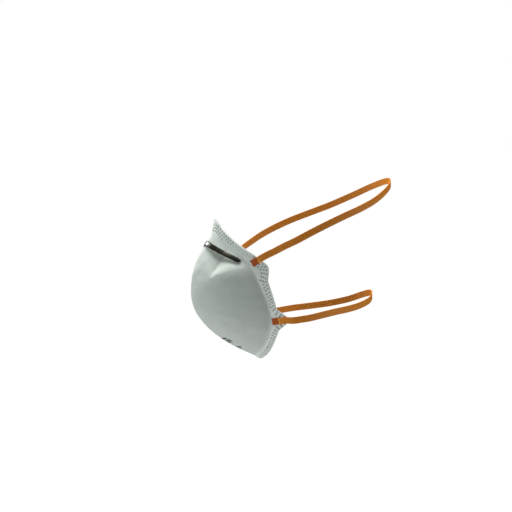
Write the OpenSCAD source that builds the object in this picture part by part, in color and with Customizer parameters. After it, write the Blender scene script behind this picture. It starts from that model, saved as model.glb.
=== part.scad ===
// Disposable dust mask: a moulded cup of four webs with a welded face flange, a nose clip
// outside, a foam strip inside, and two elastic headbands that swing about their welds.
// Frame: the origin is the centre of the face opening, +Z is up as worn, the cup bulges
// towards -Y and the wearer's left side is +X. The mask is symmetric about X = 0.

/* [Mask] */
// Width across the cheeks, without the ears that carry the lower band
mask_width = 115; // [105:1:125]
// Height from the tip over the nose to the chin
mask_height = 147; // [135:1:160]
// How far the cup stands in front of the middle of the face opening
cup_depth = 57; // [52:1:62]
// How far the flange widens where the upper band is welded on
upper_tab = 4; // [0:0.5:5]
// How far the ear under the lower band stands out of the flange
lower_tab = 10.5; // [6:0.5:12]

/* [Fold beside the nose] */
// Steepness of the moulded fold, as its depth for each millimetre from its lower end
fold_slope = 0.42; // [0.2:0.02:0.44]
// Angle of the crease, from straight up, towards the cheek
crease_angle = -14; // [-18:1:-10]
// Angle where the fold's shelf rounds over into the cheek
shelf_angle = 58; // [50:1:64]
// Angle where the fold's nose side rounds over into the ridge
ridge_angle = -41; // [-44:1:-36]

/* [Webs] */
// Thickness of the outer cover web
cover_t = 0.35; // [0.2:0.05:0.5]
// Thickness of the filter web
filter_t = 0.6; // [0.4:0.05:0.8]
// Thickness of the moulded shaping shell
shell_t = 1.0; // [0.6:0.1:1.2]
// Thickness of the lining against the face
lining_t = 0.3; // [0.2:0.05:0.4]
// Share of its thickness that a web keeps in the welded flange
flange_share = 0.4; // [0.3:0.05:0.6]

/* [Nose clip and foam] */
// Width of the metal strip
clip_w = 5.4; // [4:0.2:6]
// Thickness of the metal strip
clip_t = 0.6; // [0.4:0.1:0.9]
// Thickness of the glue line under the strip
glue_t = 0.15; // [0.1:0.05:0.2]
// Width of the foam strip
foam_w = 6.5; // [5:0.5:7]
// Thickness of the foam strip
foam_t = 3; // [2:0.5:4]

/* [Headbands] */
// Width of an elastic band
band_w = 7; // [5:0.5:8]
// Thickness of an elastic band
band_t = 1.0; // [0.6:0.1:1.2]

/* [Hidden] */

// Scale of the moulded shape along each axis, 1 at the standard size
size_k = [mask_width / 115, cup_depth / 57, mask_height / 147];

// Outer edge of the flange, from the tip over the nose down the left cheek to the chin
flange_edge = [[0, -32.5, 73], [14, -29, 61], [28, -20.5, 48.5], [38.5, -12, 40],
    [46.5, -3, 32.5], [52, 3, 22], [54.5, 6, 8], [56, 10, -5], [57.5, 13, -17],
    [57.5, 16, -29], [54, 18, -41], [46, 17.5, -51], [33, 18.5, -60.5], [18, 18, -69],
    [0, 17, -74]];
// Line where the flange meets the cup, at the same stations
cup_edge = [[0, -36.5, 55], [12, -32.5, 49.5], [24, -24, 40.5], [34, -16.5, 32.5],
    [41.5, -10.5, 24.5], [46, -6, 15.5], [48.5, -1.5, 5.5], [50.5, 3, -5], [52, 7.5, -17],
    [51.5, 10.5, -29], [48, 11.5, -41], [40, 11.5, -51.5], [29, 11.5, -60.5], [15, 11, -67],
    [0, 10.5, -70]];
// How the wall of the cup sets off from the flange, from the nose to the chin
wall_start = [[0, -9, -15], [1, -17, -8], [3, -24, -3], [1, -28, 0], [0, -27, 2],
    [0, -29, 7], [0, -31, 12]];
// How the wall arrives at the foremost point of the cup, from above to below
wall_end = [[0, -3, 27], [18, -1, 19], [26, 0, 8], [28, 0, -4], [26, 0, -17],
    [17, 0, -28], [0, -1, -32]];
cup_front = [0, -57, -4];

// Station round the edge, 0 over the nose and 1 at the chin, of each band's tab
upper_tab_at = 0.365;
lower_tab_at = 0.655;
tab_reach = 0.075;
// The lower band pulls its ear backwards, by this much of the ear's own direction
ear_pull = [-0.1, 0.35, 0];

// Lower end of the fold's crease, seen from the front
fold_end = [27, 10.5];
// Line of the nose clip seen from the front, from the ridge to its end
clip_line = [[0, 46.5], [38.5, 27]];
ridge_clear = 9;

// Stack of the webs, measured inwards from the outside of the cover
web_gap = 0.05;
filter_at = cover_t + web_gap;
shell_at = filter_at + filter_t + web_gap;
lining_at = shell_at + shell_t + web_gap;
wall_t = lining_at + lining_t;

// Rows of a web: -1 is the flange's outer edge, 0 the cup's edge and 1 its foremost point
rows = [-1, -0.5, 0, 0.06, 0.13, 0.21, 0.31, 0.43, 0.56, 0.69, 0.81, 0.91];
columns = 68;

// Stations and rows of the flange that each band's fused end lies on, from its inner end
upper_weld = [[0.298, -0.28], [0.305, -0.84]];
lower_weld = [[0.666, -0.05], [0.661, -0.5], [0.655, -0.95]];
// Middle lines of the bands, from their hinges round the left of the head to its back
upper_route = [[53.2, 4.5, 33.8], [58, 12, 38], [64, 20, 43], [70.5, 30, 48.5], [76, 45, 57],
    [78, 62, 65.5], [76.5, 80, 73.5], [71, 100, 81.5], [60, 120, 90], [44, 139, 100],
    [24, 154.5, 109.5], [0, 161, 114]];
lower_route = [[65.5, 28.5, -31.5], [67.5, 37.5, -30.3], [67, 47, -29], [65, 60, -26.5],
    [60, 77, -23.5], [52, 95, -21], [41, 112, -18], [28, 128, -13.5], [14, 137.5, -8.5],
    [0, 141, -6]];
// Room between a band and the flange under it
band_lift = 0.35;
band_steps = 3;
// A band's free part starts as a half circle about its hinge, in a round notch of its fused
// end, with this much room between them
hinge_room = 0.45;
notch_r = band_w / 2 + hinge_room;

// ---- Curves and the moulded surface ----

function unit(v) = v / norm(v);
function flip(p) = [-p.x, p.y, p.z];
function soft(x) = let(c = min(1, max(0, x))) c * c * (3 - 2 * c);
function mix(a, b, f) = a + (b - a) * f;

// A smooth step from b to c, with a and d as the points before and after
function through(a, b, c, d, f) = 0.5 * (2 * b + (c - a) * f
    + (2 * a - 5 * b + 4 * c - d) * f * f + (3 * b - a - 3 * c + d) * f * f * f);

// A smooth curve through the points of the left half, with the right half as its mirror
function half_curve(pts, s) =
    let(n = len(pts) - 1, i = min(floor(s * n), n - 1),
        before = i == 0 ? flip(pts[1]) : pts[i - 1],
        after = i + 2 > n ? flip(pts[n - 1]) : pts[i + 2])
    through(before, pts[i], pts[i + 1], after, s * n - i);

function tab(s, at) = soft(1 - abs(s - at) / tab_reach);

function flange_point(s) =
    let(outer = half_curve(flange_edge, s), away = unit(outer - half_curve(cup_edge, s)))
    outer + away * upper_tab * tab(s, upper_tab_at)
        + unit(away + ear_pull) * lower_tab * tab(s, lower_tab_at);

function wall_point(s, r) =
    let(a = half_curve(cup_edge, s), b = a + half_curve(wall_start, s),
        c = cup_front + half_curve(wall_end, s), q = 1 - r)
    q * q * q * a + 3 * q * q * r * b + 3 * q * r * r * c + r * r * r * cup_front;

function left_point(s, r) =
    r < 0 ? mix(half_curve(cup_edge, s), flange_point(s), -r) : wall_point(s, r);

// A point of the smooth moulded form; s below 0 is on the wearer's right
function form(s, r) = s < 0 ? flip(left_point(-s, r)) : left_point(s, r);

// Outward direction of the smooth form
function outward(s, r) = r > 0.98 ? [0, -1, 0] :
    let(a = max(-1, min(1, s)), h = 0.004, k = max(-0.99, min(0.97, r)),
        across = form(min(1, a + h), k) - form(max(-1, a - h), k),
        inwards = form(a, k + h) - form(a, k - h))
    unit(cross(inwards, across));

// Depth of the fold at a point, seen from the front
function fold(p) =
    let(x = abs(p.x), dx = x - fold_end.x, dz = p.z - fold_end.y,
        angle = atan2(dx, dz),
        nose_side = max(0, (angle - ridge_angle) / (crease_angle - ridge_angle)),
        shelf = max(0, (shelf_angle - angle) / (shelf_angle - crease_angle)),
        share = angle < crease_angle ? pow(nose_side, 1.5) : pow(shelf, 1.25),
        along = unit(clip_line[1] - clip_line[0]),
        below_clip = (x - clip_line[0].x) * along.y - (p.z - clip_line[0].y) * along.x)
    fold_slope * norm([dx, dz]) * share * soft((below_clip + 3) / 6) * soft(x / ridge_clear);

function sized(p) = [p.x * size_k.x, p.y * size_k.y, p.z * size_k.z];

// Thickness left at a row: squeezed in the flange, full in the cup
function web_share(r) = mix(flange_share, 1, soft(r / 0.12));

// A point of the moulded wall at a depth inwards from the cover's outside
function wall(s, r, depth) =
    let(p = form(s, r))
    sized(p + [0, fold(p), 0]) - outward(s, r) * depth * web_share(r);

// One web of the cup: a closed sheet between two depths
module web(from, to) {
    grid = [for (depth = [from, to]) each
        [for (r = rows) for (c = [0 : columns - 1]) wall(-1 + 2 * c / columns, r, depth)]];
    tips = [for (depth = [from, to]) sized(cup_front) + [0, depth, 0]];
    per_side = len(rows) * columns;
    tip = 2 * per_side;
    function at(side, i, c) = side * per_side + i * columns + c % columns;
    skin = [for (i = [0 : len(rows) - 2]) for (c = [0 : columns - 1])
        each [[at(0, i, c), at(0, i + 1, c + 1), at(0, i + 1, c)],
            [at(0, i, c), at(0, i, c + 1), at(0, i + 1, c + 1)],
            [at(1, i, c), at(1, i + 1, c), at(1, i + 1, c + 1)],
            [at(1, i, c), at(1, i + 1, c + 1), at(1, i, c + 1)]]];
    last = len(rows) - 1;
    front = [for (c = [0 : columns - 1])
        each [[at(0, last, c), at(0, last, c + 1), tip],
            [at(1, last, c), tip + 1, at(1, last, c + 1)]]];
    rim = [for (c = [0 : columns - 1])
        each [[at(0, 0, c), at(1, 0, c + 1), at(0, 0, c + 1)],
            [at(0, 0, c), at(1, 0, c), at(1, 0, c + 1)]]];
    polyhedron(concat(grid, tips), concat(skin, front, rim), convexity = 6);
}

// ---- Strips that follow a line: the clip, its glue, the foam and the bands ----

// A closed strip through rings of four corners
module strip(rings) {
    n = len(rings);
    sides = [for (i = [0 : n - 2]) for (k = [0 : 3])
        let(a = 4 * i + k, b = 4 * i + (k + 1) % 4)
        each [[a, b, b + 4], [a, b + 4, a + 4]]];
    ends = [[0, 2, 1], [0, 3, 2], [4 * n - 4, 4 * n - 3, 4 * n - 2],
        [4 * n - 4, 4 * n - 2, 4 * n - 1]];
    polyhedron([for (r = rings) each r], concat(sides, ends), convexity = 6);
}

function ring(p, out, side, half_w, low, high) =
    [p + out * high + side * half_w, p + out * high - side * half_w,
     p + out * low - side * half_w, p + out * low + side * half_w];

// The row on which a strip over the nose runs at station s
function clip_row(s) = 0.19 - 1.85 * s * s;
function foam_row(s) = 0.062 - 0.45 * s * s;

// Millimetres of strip for each unit of station, used to round its ends
station_mm = 200;
nose_step = 0.0215;

function nose_ring(s, row, reach, half_w, low, high) =
    let(h = 0.004, p = form(s, row), out = outward(s, row),
        along = form(s + h, row) - form(s - h, row),
        from_end = (reach - abs(s)) * station_mm,
        inset = max(0, half_w - from_end),
        half = sqrt(half_w * half_w - inset * inset))
    ring(sized(p), out, unit(cross(along, out)), half, low, high);

// The strips over the nose share their middle stations, so that they stay parallel
function nose_stations(reach, half_w) =
    let(round_end = [for (e = [0.06, 0.25, 0.6, 1]) reach - e * half_w / station_mm],
        mid = [for (k = [10 : -1 : 1]) if (k * nose_step < round_end[3] - 0.004) k * nose_step],
        left = concat(round_end, mid))
    concat([for (s = left) -s], [0], [for (i = [len(left) - 1 : -1 : 0]) left[i]]);

clip_reach = 0.25;
foam_reach = 0.21;
// Room left on each side of a glue line, between the cover and the clip or foam and lining
glue_room = 0.14;
clip_lift = glue_t + 2 * glue_room;
foam_depth = wall_t + glue_t + 4 * glue_room;

// ---- Headbands ----

function route_point(route, u) =
    let(n = len(route) - 1, i = min(floor(u), n - 1),
        before = i == 0 ? 2 * route[0] - route[1] : route[i - 1],
        after = i + 2 > n ? flip(route[n - 1]) : route[i + 2])
    through(before, route[i], route[i + 1], after, u - i);

// The whole middle line of a band: its fused end on the flange, and then its free route
function band_line(weld, route) = concat(
    [for (at = weld) form(at[0], at[1]) + outward(at[0], at[1]) * (band_lift + band_t / 2)],
    route);

// Half the band's width at a point of its free part, which is a half circle behind the hinge
function free_half(p, hinge_at, v, hinge) =
    v >= hinge ? band_w / 2
    : sqrt(max(0.04, band_w * band_w / 4 - pow(norm([p.y - hinge_at.y, p.z - hinge_at.z]), 2)));

// The band stands on edge round the head, and lies flat on the flange at its fused end
function band_ring(weld, route, u, free) =
    let(line = band_line(weld, route), n = len(line) - 1, v = u > n ? 2 * n - u : u, h = 0.05,
        p = route_point(line, v), hinge = len(weld),
        half = free ? free_half(p, route[0], v, hinge) : band_w / 2,
        along = unit(route_point(line, min(n, v + h)) - route_point(line, max(0, v - h))),
        level = v > n - h ? [0, 1, 0] : unit([along.y, -along.x, 0]),
        seat = outward(weld[1][0], weld[1][1]),
        out = unit(mix(seat, level, soft((v - hinge + 1) / 2))),
        side = unit(cross(v > n - h ? [-1, 0, 0] : along, out)),
        corners = ring(sized(p), out, side, half, -band_t / 2, band_t / 2))
    u > n ? [for (corner = corners) flip(corner)] : corners;

// Rings from one place on the line to another, where the far half mirrors the near one
function band_rings(weld, route, from, to) =
    let(steps = ceil((to - from) * band_steps))
    [for (k = [0 : steps]) band_ring(weld, route, mix(from, to, k / steps), false)];

// Places on the line behind the hinge, where the half circle's rings are
function round_start(weld, route) =
    let(line = band_line(weld, route), hinge = len(weld),
        reach = band_w / 2 / norm([for (i = [1, 2]) line[hinge][i] - line[hinge - 1][i]]))
    [for (e = [0.99, 0.94, 0.84, 0.68, 0.46, 0.22]) hinge - e * reach];

module headband(weld, route) {
    start = round_start(weld, route);
    end = 2 * (len(weld) + len(route) - 1);
    strip(concat([for (v = start) band_ring(weld, route, v, true)],
        band_rings(weld, route, len(weld), end - len(weld)),
        [for (k = [len(start) - 1 : -1 : 0]) band_ring(weld, route, end - start[k], true)]));
}

module band_weld(weld, route) {
    hinge = sized(route[0]);
    difference() {
        strip(band_rings(weld, route, 0, len(weld)));
        translate([hinge.x - band_w, hinge.y, hinge.z]) rotate([0, 90, 0])
            cylinder(r = notch_r, h = 2 * band_w, $fn = 64);
    }
}

// ---- Sub-parts ----

module outer_cover() {
    color("whitesmoke") web(0, cover_t);
}

module filter_layer() {
    color("white") web(filter_at, filter_at + filter_t);
}

module shaping_shell() {
    color("gainsboro") web(shell_at, shell_at + shell_t);
}

module inner_lining() {
    color("snow") web(lining_at, lining_at + lining_t);
}

module nose_clip() {
    color("dimgray")
        strip([for (s = nose_stations(clip_reach, clip_w / 2))
            nose_ring(s, clip_row(s), clip_reach, clip_w / 2, clip_lift, clip_lift + clip_t)]);
}

module nose_clip_adhesive() {
    half = clip_w / 2 - 0.9;
    reach = clip_reach - 0.01;
    color("ivory")
        strip([for (s = nose_stations(reach, half))
            nose_ring(s, clip_row(s), reach, half, glue_room, glue_room + glue_t)]);
}

module nose_foam() {
    color("lightgray")
        strip([for (s = nose_stations(foam_reach, foam_w / 2))
            nose_ring(s, foam_row(s), foam_reach, foam_w / 2,
                -foam_depth - foam_t, -foam_depth)]);
}

module nose_foam_adhesive() {
    low = glue_room - foam_depth;
    half = foam_w / 2 - 1.2;
    reach = foam_reach - 0.02;
    color("ivory")
        strip([for (s = nose_stations(reach, half))
            nose_ring(s, foam_row(s), reach, half, low, low + glue_t)]);
}

module upper_headband() {
    color("peru") headband(upper_weld, upper_route);
}

module lower_headband() {
    color("peru") headband(lower_weld, lower_route);
}

module upper_band_weld_left() {
    color("sienna") band_weld(upper_weld, upper_route);
}

module upper_band_weld_right() {
    color("sienna") mirror([1, 0, 0]) band_weld(upper_weld, upper_route);
}

module lower_band_weld_left() {
    color("sienna") band_weld(lower_weld, lower_route);
}

module lower_band_weld_right() {
    color("sienna") mirror([1, 0, 0]) band_weld(lower_weld, lower_route);
}

outer_cover();
filter_layer();
shaping_shell();
inner_lining();
nose_clip();
nose_clip_adhesive();
nose_foam();
nose_foam_adhesive();
upper_headband();
lower_headband();
upper_band_weld_left();
upper_band_weld_right();
lower_band_weld_left();
lower_band_weld_right();
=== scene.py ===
# %% [markdown]
# # A moulded dust mask, dressed round its frame
# A disposable dust mask is a stack of four thin webs, pressed hot over a cup-shaped former,
# welded together round the rim, and finished with a metal strip over the nose, a foam strip
# under it and two elastic bands. Its frame, with the sizes, places and joints, is loaded
# first, and this notebook gives each piece its real surface and finish. Lengths are written
# in millimetres, as on a maker's drawing, and MM turns them into Blender's metres.

# %% Load the frame
import math

import bmesh
import bpy
import numpy as np
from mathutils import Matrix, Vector


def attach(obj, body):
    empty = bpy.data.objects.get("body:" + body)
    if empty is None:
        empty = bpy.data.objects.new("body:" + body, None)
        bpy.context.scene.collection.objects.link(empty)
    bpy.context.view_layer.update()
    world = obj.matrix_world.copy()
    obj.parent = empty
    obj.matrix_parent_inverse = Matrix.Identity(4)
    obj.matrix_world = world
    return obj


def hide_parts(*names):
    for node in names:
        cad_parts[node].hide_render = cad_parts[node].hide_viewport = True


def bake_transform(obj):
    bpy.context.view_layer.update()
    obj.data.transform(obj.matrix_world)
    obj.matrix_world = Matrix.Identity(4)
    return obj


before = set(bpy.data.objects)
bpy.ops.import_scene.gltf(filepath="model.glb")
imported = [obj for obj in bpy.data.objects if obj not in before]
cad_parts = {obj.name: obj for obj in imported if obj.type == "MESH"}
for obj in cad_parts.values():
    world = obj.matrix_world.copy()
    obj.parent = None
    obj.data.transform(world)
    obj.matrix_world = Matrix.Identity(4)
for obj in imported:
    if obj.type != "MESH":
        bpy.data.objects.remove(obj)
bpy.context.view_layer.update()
MM = 0.001

# %% [markdown]
# ## Camera, floor and light
# A long lens from the wearer's left, level with the mask, keeps the bands' lines straight.
# The studio is plain: a pale floor far below, a white surround that only the camera sees,
# and a weak tinted surround that lights the shaded side. The Light Path node makes that
# split, and it works on the world and the floor only, never on the mask. A sun or one lamp
# would leave half of the cup flat or black, so five square lamps share the work. Two hang
# above and brighten the shelf beside the nose and the flange, one at the front and one at
# the rear round off the cup and the bands, and a small one makes the nose clip shine.

# %% The camera
VIEW_SIDE = math.radians(71)
AIM = Vector((3.7, 10.8, 33.3)) * MM
CAMERA_DISTANCE = 1.48
towards_camera = Vector((math.sin(VIEW_SIDE), -math.cos(VIEW_SIDE), 0))
picture_right = Vector((math.cos(VIEW_SIDE), math.sin(VIEW_SIDE), 0))
UP = Vector((0, 0, 1))

camera_data = bpy.data.cameras.new("camera")
camera_data.lens = 100
camera_data.sensor_width = 36
camera = bpy.data.objects.new("camera", camera_data)
camera.location = AIM + towards_camera * CAMERA_DISTANCE
camera.rotation_euler = (-towards_camera).to_track_quat("-Z", "Y").to_euler()
bpy.context.collection.objects.link(camera)
bpy.context.scene.camera = camera
bpy.context.scene.view_settings.view_transform = "Standard"
print("camera:", CAMERA_DISTANCE, "m from", AIM.to_tuple(4))


# %% Two helpers for node trees
def add_node(tree, kind, settings=None, **sockets):
    """A new node with its settings, and its sockets given as values or as links."""
    node = tree.nodes.new(kind)
    for key, value in (settings or {}).items():
        setattr(node, key, value)
    for key, value in sockets.items():
        socket = node.inputs[key.replace("_", " ")]
        if isinstance(value, bpy.types.NodeSocket):
            tree.links.new(value, socket)
        else:
            socket.default_value = value
    return node


def arithmetic(tree, operation, *values, clamp=False):
    """A math node on values or sockets, and its output."""
    node = tree.nodes.new("ShaderNodeMath")
    node.operation = operation
    node.use_clamp = clamp
    for socket, value in zip(node.inputs, values):
        if isinstance(value, bpy.types.NodeSocket):
            tree.links.new(value, socket)
        else:
            socket.default_value = value
    return node.outputs[0]


# %% The surround
SURROUND_LIGHT = (0.87, 1.0, 0.93, 1)
SURROUND_STRENGTH = 0.05
world = bpy.data.worlds.new("studio")
world.use_nodes = True
bpy.context.scene.world = world
sky = world.node_tree
sky.nodes.clear()
seen = add_node(sky, "ShaderNodeBackground", Color=(1, 1, 1, 1), Strength=1.0)
lighting = add_node(
    sky, "ShaderNodeBackground", Color=SURROUND_LIGHT, Strength=SURROUND_STRENGTH
)
path = add_node(sky, "ShaderNodeLightPath")
split = add_node(sky, "ShaderNodeMixShader", Fac=path.outputs["Is Camera Ray"])
sky.links.new(lighting.outputs[0], split.inputs[1])
sky.links.new(seen.outputs[0], split.inputs[2])
add_node(sky, "ShaderNodeOutputWorld", Surface=split.outputs[0])


# %% The floor
FLOOR_BELOW = 235 * MM
FLOOR_HALF = 6.0
FLOOR_GREY = (0.5, 0.5, 0.5, 1)


def add_floor():
    """A wide matt floor. To the camera alone it glows, so it meets the surround with no line."""
    mesh = bpy.data.meshes.new("floor")
    corners = [(-1, -1), (1, -1), (1, 1), (-1, 1)]
    mesh.from_pydata(
        [(x * FLOOR_HALF, y * FLOOR_HALF, -FLOOR_BELOW) for x, y in corners], [], [(0, 1, 2, 3)]
    )
    floor = bpy.data.objects.new("floor", mesh)
    bpy.context.collection.objects.link(floor)
    paint = bpy.data.materials.new("pale_floor")
    paint.use_nodes = True
    tree = paint.node_tree
    tree.nodes.clear()
    matt = add_node(tree, "ShaderNodeBsdfDiffuse", Color=FLOOR_GREY)
    glow = add_node(tree, "ShaderNodeEmission", Color=(1, 1, 1, 1), Strength=1.0)
    ray = add_node(tree, "ShaderNodeLightPath")
    both = add_node(tree, "ShaderNodeAddShader")
    tree.links.new(matt.outputs[0], both.inputs[0])
    tree.links.new(glow.outputs[0], both.inputs[1])
    pick = add_node(tree, "ShaderNodeMixShader", Fac=ray.outputs["Is Camera Ray"])
    tree.links.new(matt.outputs[0], pick.inputs[1])
    tree.links.new(both.outputs[0], pick.inputs[2])
    add_node(tree, "ShaderNodeOutputMaterial", Surface=pick.outputs[0])
    mesh.materials.append(paint)


add_floor()
print("floor:", FLOOR_BELOW, "m below the middle")


# %% The lamps
def add_lamp(name, left, away, up, size, power, colour):
    """A square lamp, placed from the aim point as the camera sees it, facing that point."""
    data = bpy.data.lights.new(name, "AREA")
    data.size = size
    data.energy = power
    data.color = colour
    lamp = bpy.data.objects.new(name, data)
    offset = -picture_right * left - towards_camera * away + UP * up
    lamp.location = AIM + offset
    lamp.rotation_euler = (-offset).to_track_quat("-Z", "Y").to_euler()
    bpy.context.collection.objects.link(lamp)


# Colours of light, and for each lamp metres from the aim point, metres wide and watts
ABOVE = (0.97, 1.0, 0.95)
FRONT = (0.91, 1.0, 0.95)
REAR = (0.91, 1.0, 0.94)
LAMPS = {
    "top_lamp": dict(left=0.3, away=0.35, up=1.3, size=0.7, power=27, colour=ABOVE),
    "back_lamp": dict(left=-0.31, away=0.21, up=1.35, size=0.7, power=9.5, colour=ABOVE),
    "front_lamp": dict(left=1.28, away=-0.53, up=0.21, size=0.7, power=6.0, colour=FRONT),
    "rear_lamp": dict(left=-1.35, away=-0.36, up=0.1, size=0.7, power=4.7, colour=REAR),
    "clip_lamp": dict(left=1.05, away=0.6, up=0.87, size=0.4, power=1.6, colour=(1, 1, 1)),
}
for name, setup in LAMPS.items():
    add_lamp(name, **setup)
print("lamps:", {name: setup["power"] for name, setup in LAMPS.items()})

# %% [markdown]
# ## The moulded form
# The cup, its flange and its fold are one smooth surface. It could be sculpted, but a rule
# is better: the frame's solids follow this rule too, so every layer, strip and weld can be
# placed on it exactly. A station s runs round the edge, 0 over the nose and 1 at the chin,
# with the wearer's right half below 0. A row r runs from the flange's outer edge at -1, over
# the line where the cup starts at 0, to the foremost point of the cup at 1.

# %% The lines that the form follows, for the wearer's left half
FLANGE_EDGE = [(0, -32.5, 73), (14, -29, 61), (28, -20.5, 48.5), (38.5, -12, 40),
    (46.5, -3, 32.5), (52, 3, 22), (54.5, 6, 8), (56, 10, -5), (57.5, 13, -17),
    (57.5, 16, -29), (54, 18, -41), (46, 17.5, -51), (33, 18.5, -60.5), (18, 18, -69),
    (0, 17, -74)]
CUP_EDGE = [(0, -36.5, 55), (12, -32.5, 49.5), (24, -24, 40.5), (34, -16.5, 32.5),
    (41.5, -10.5, 24.5), (46, -6, 15.5), (48.5, -1.5, 5.5), (50.5, 3, -5), (52, 7.5, -17),
    (51.5, 10.5, -29), (48, 11.5, -41), (40, 11.5, -51.5), (29, 11.5, -60.5), (15, 11, -67),
    (0, 10.5, -70)]
# How the wall's sweep leaves the cup's edge, and how it arrives at the cup's front
WALL_START = [(0, -9, -15), (1, -17, -8), (3, -24, -3), (1, -28, 0), (0, -27, 2), (0, -29, 7),
    (0, -31, 12)]
WALL_END = [(0, -3, 27), (18, -1, 19), (26, 0, 8), (28, 0, -4), (26, 0, -17), (17, 0, -28),
    (0, -1, -32)]
CUP_FRONT = np.array([0, -57, -4.0])

# %% The ears of the flange, the fold beside the nose, and the stack of webs
UPPER_TAB = 4
UPPER_TAB_AT = 0.365
LOWER_TAB = 10.5
LOWER_TAB_AT = 0.655
TAB_REACH = 0.075
EAR_PULL = np.array([-0.1, 0.35, 0])

FOLD_SLOPE = 0.42
FOLD_END = np.array([27, 10.5])
CREASE_ANGLE = -14
SHELF_ANGLE = 58
RIDGE_ANGLE = -41
RIDGE_CLEAR = 9
CLIP_LINE = np.array([[0, 46.5], [38.5, 27]])

# Thickness and place of each web, from the outside in
COVER_T = 0.35
FILTER_T = 0.6
SHELL_T = 1.0
LINING_T = 0.3
WEB_GAP = 0.05
FILTER_AT = COVER_T + WEB_GAP
SHELL_AT = FILTER_AT + FILTER_T + WEB_GAP
LINING_AT = SHELL_AT + SHELL_T + WEB_GAP
WALL_T = LINING_AT + LINING_T
FLANGE_SHARE = 0.4


# %% Small tools for curves
def unit(vectors):
    """Vectors of length one."""
    return vectors / np.linalg.norm(vectors, axis=-1, keepdims=True)


def flip(points):
    """The mirror image on the wearer's other side."""
    return points * np.array([-1.0, 1, 1])


def soft(x):
    """A smooth step from 0 to 1."""
    c = np.clip(x, 0, 1)
    return c * c * (3 - 2 * c)


def through(a, b, c, d, f):
    """A smooth curve from b to c, with a and d as the points before and after."""
    return 0.5 * (
        2 * b + (c - a) * f + (2 * a - 5 * b + 4 * c - d) * f**2 + (3 * b - a - 3 * c + d) * f**3
    )


def half_curve(points, s):
    """The curve through one half's points at station s, smooth across the middle."""
    given = np.array(points, float)
    padded = np.vstack([flip(given[1]), given, flip(given[-2])])
    spans = len(given) - 1
    i = np.minimum((s * spans).astype(int), spans - 1)
    f = (s * spans - i)[..., None]
    return through(padded[i], padded[i + 1], padded[i + 2], padded[i + 3], f)


# %% The form itself
STATION_STEP = 0.004


def tab(s, at):
    """How much of an ear a station takes, from 0 to 1."""
    return soft(1 - abs(s - at) / TAB_REACH)[..., None]


def flange_point(s):
    """The flange's outer edge, with the ears that carry the bands."""
    outer = half_curve(FLANGE_EDGE, s)
    away = unit(outer - half_curve(CUP_EDGE, s))
    upper = away * UPPER_TAB * tab(s, UPPER_TAB_AT)
    return outer + upper + unit(away + EAR_PULL) * LOWER_TAB * tab(s, LOWER_TAB_AT)


def wall_point(s, r):
    """The cup's wall: one cubic sweep from the flange to the front."""
    a = half_curve(CUP_EDGE, s)
    b = a + half_curve(WALL_START, s)
    c = CUP_FRONT + half_curve(WALL_END, s)
    k = r[..., None]
    q = 1 - k
    return q**3 * a + 3 * q * q * k * b + 3 * q * k * k * c + k**3 * CUP_FRONT


def form(s, r):
    """A point of the smooth form, in millimetres."""
    s, r = np.broadcast_arrays(np.asarray(s, float), np.asarray(r, float))
    side = np.abs(s)
    k = np.clip(-r, 0, None)[..., None]
    edge = half_curve(CUP_EDGE, side)
    flange = edge + (flange_point(side) - edge) * k
    left = np.where(r[..., None] < 0, flange, wall_point(side, np.clip(r, 0, 1)))
    return np.where(s[..., None] < 0, flip(left), left)


def outward(s, r):
    """The outward direction of the form."""
    s, r = np.broadcast_arrays(np.asarray(s, float), np.asarray(r, float))
    h = STATION_STEP
    k = np.clip(r, -0.99, 0.96)
    across = form(np.minimum(1, s + h), k) - form(np.maximum(-1, s - h), k)
    inwards = form(s, k + h) - form(s, k - h)
    return unit(np.cross(inwards, across))


print("cup: front at", form(0.0, 1.0), "chin at", form(1.0, -1.0).round(1))


# %% [markdown]
# The fold beside the nose is a valley pushed into the cup. Seen from the front it fans out
# from its lower end: one side climbs to the ridge of the nose, the other is the flat shelf
# that rounds over into the cheek, and they meet in a crisp crease.

# %% The fold, and a point at a depth inside the wall
# How round the fold's two sides are, and how far from the clip's line it fades
NOSE_SIDE_CURVE = 1.5
SHELF_CURVE = 1.25
CLIP_SIDE = 3


def fold_share(p):
    """A point's share of the fold's full depth, and how far it is from the fold's end."""
    dx = abs(p[..., 0]) - FOLD_END[0]
    dz = p[..., 2] - FOLD_END[1]
    angle = np.degrees(np.arctan2(dx, dz))
    nose_side = np.clip((angle - RIDGE_ANGLE) / (CREASE_ANGLE - RIDGE_ANGLE), 0, None)
    shelf = np.clip((SHELF_ANGLE - angle) / (SHELF_ANGLE - CREASE_ANGLE), 0, None)
    share = np.where(angle < CREASE_ANGLE, nose_side**NOSE_SIDE_CURVE, shelf**SHELF_CURVE)
    return share, np.hypot(dx, dz)


def fold(p):
    """Depth of the fold at a point, towards the face."""
    share, distance = fold_share(p)
    along = unit(CLIP_LINE[1] - CLIP_LINE[0])
    x = abs(p[..., 0])
    below = (x - CLIP_LINE[0, 0]) * along[1] - (p[..., 2] - CLIP_LINE[0, 1]) * along[0]
    clear_of_clip = soft((below + CLIP_SIDE) / (2 * CLIP_SIDE))
    return FOLD_SLOPE * distance * share * clear_of_clip * soft(x / RIDGE_CLEAR)


FULL_THICKNESS_ROW = 0.12


def web_share(r):
    """The share of its thickness that a web keeps: squeezed in the flange, full in the cup."""
    return (FLANGE_SHARE + (1 - FLANGE_SHARE) * soft(r / FULL_THICKNESS_ROW))[..., None]


# The room that the inner webs leave in the crease, and the shares of the fold where it starts
CREASE_ROOM = 0.75
CREASE_FROM = 0.5
CREASE_GROWS = 0.4
DEEP_FOLD = 3
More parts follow.
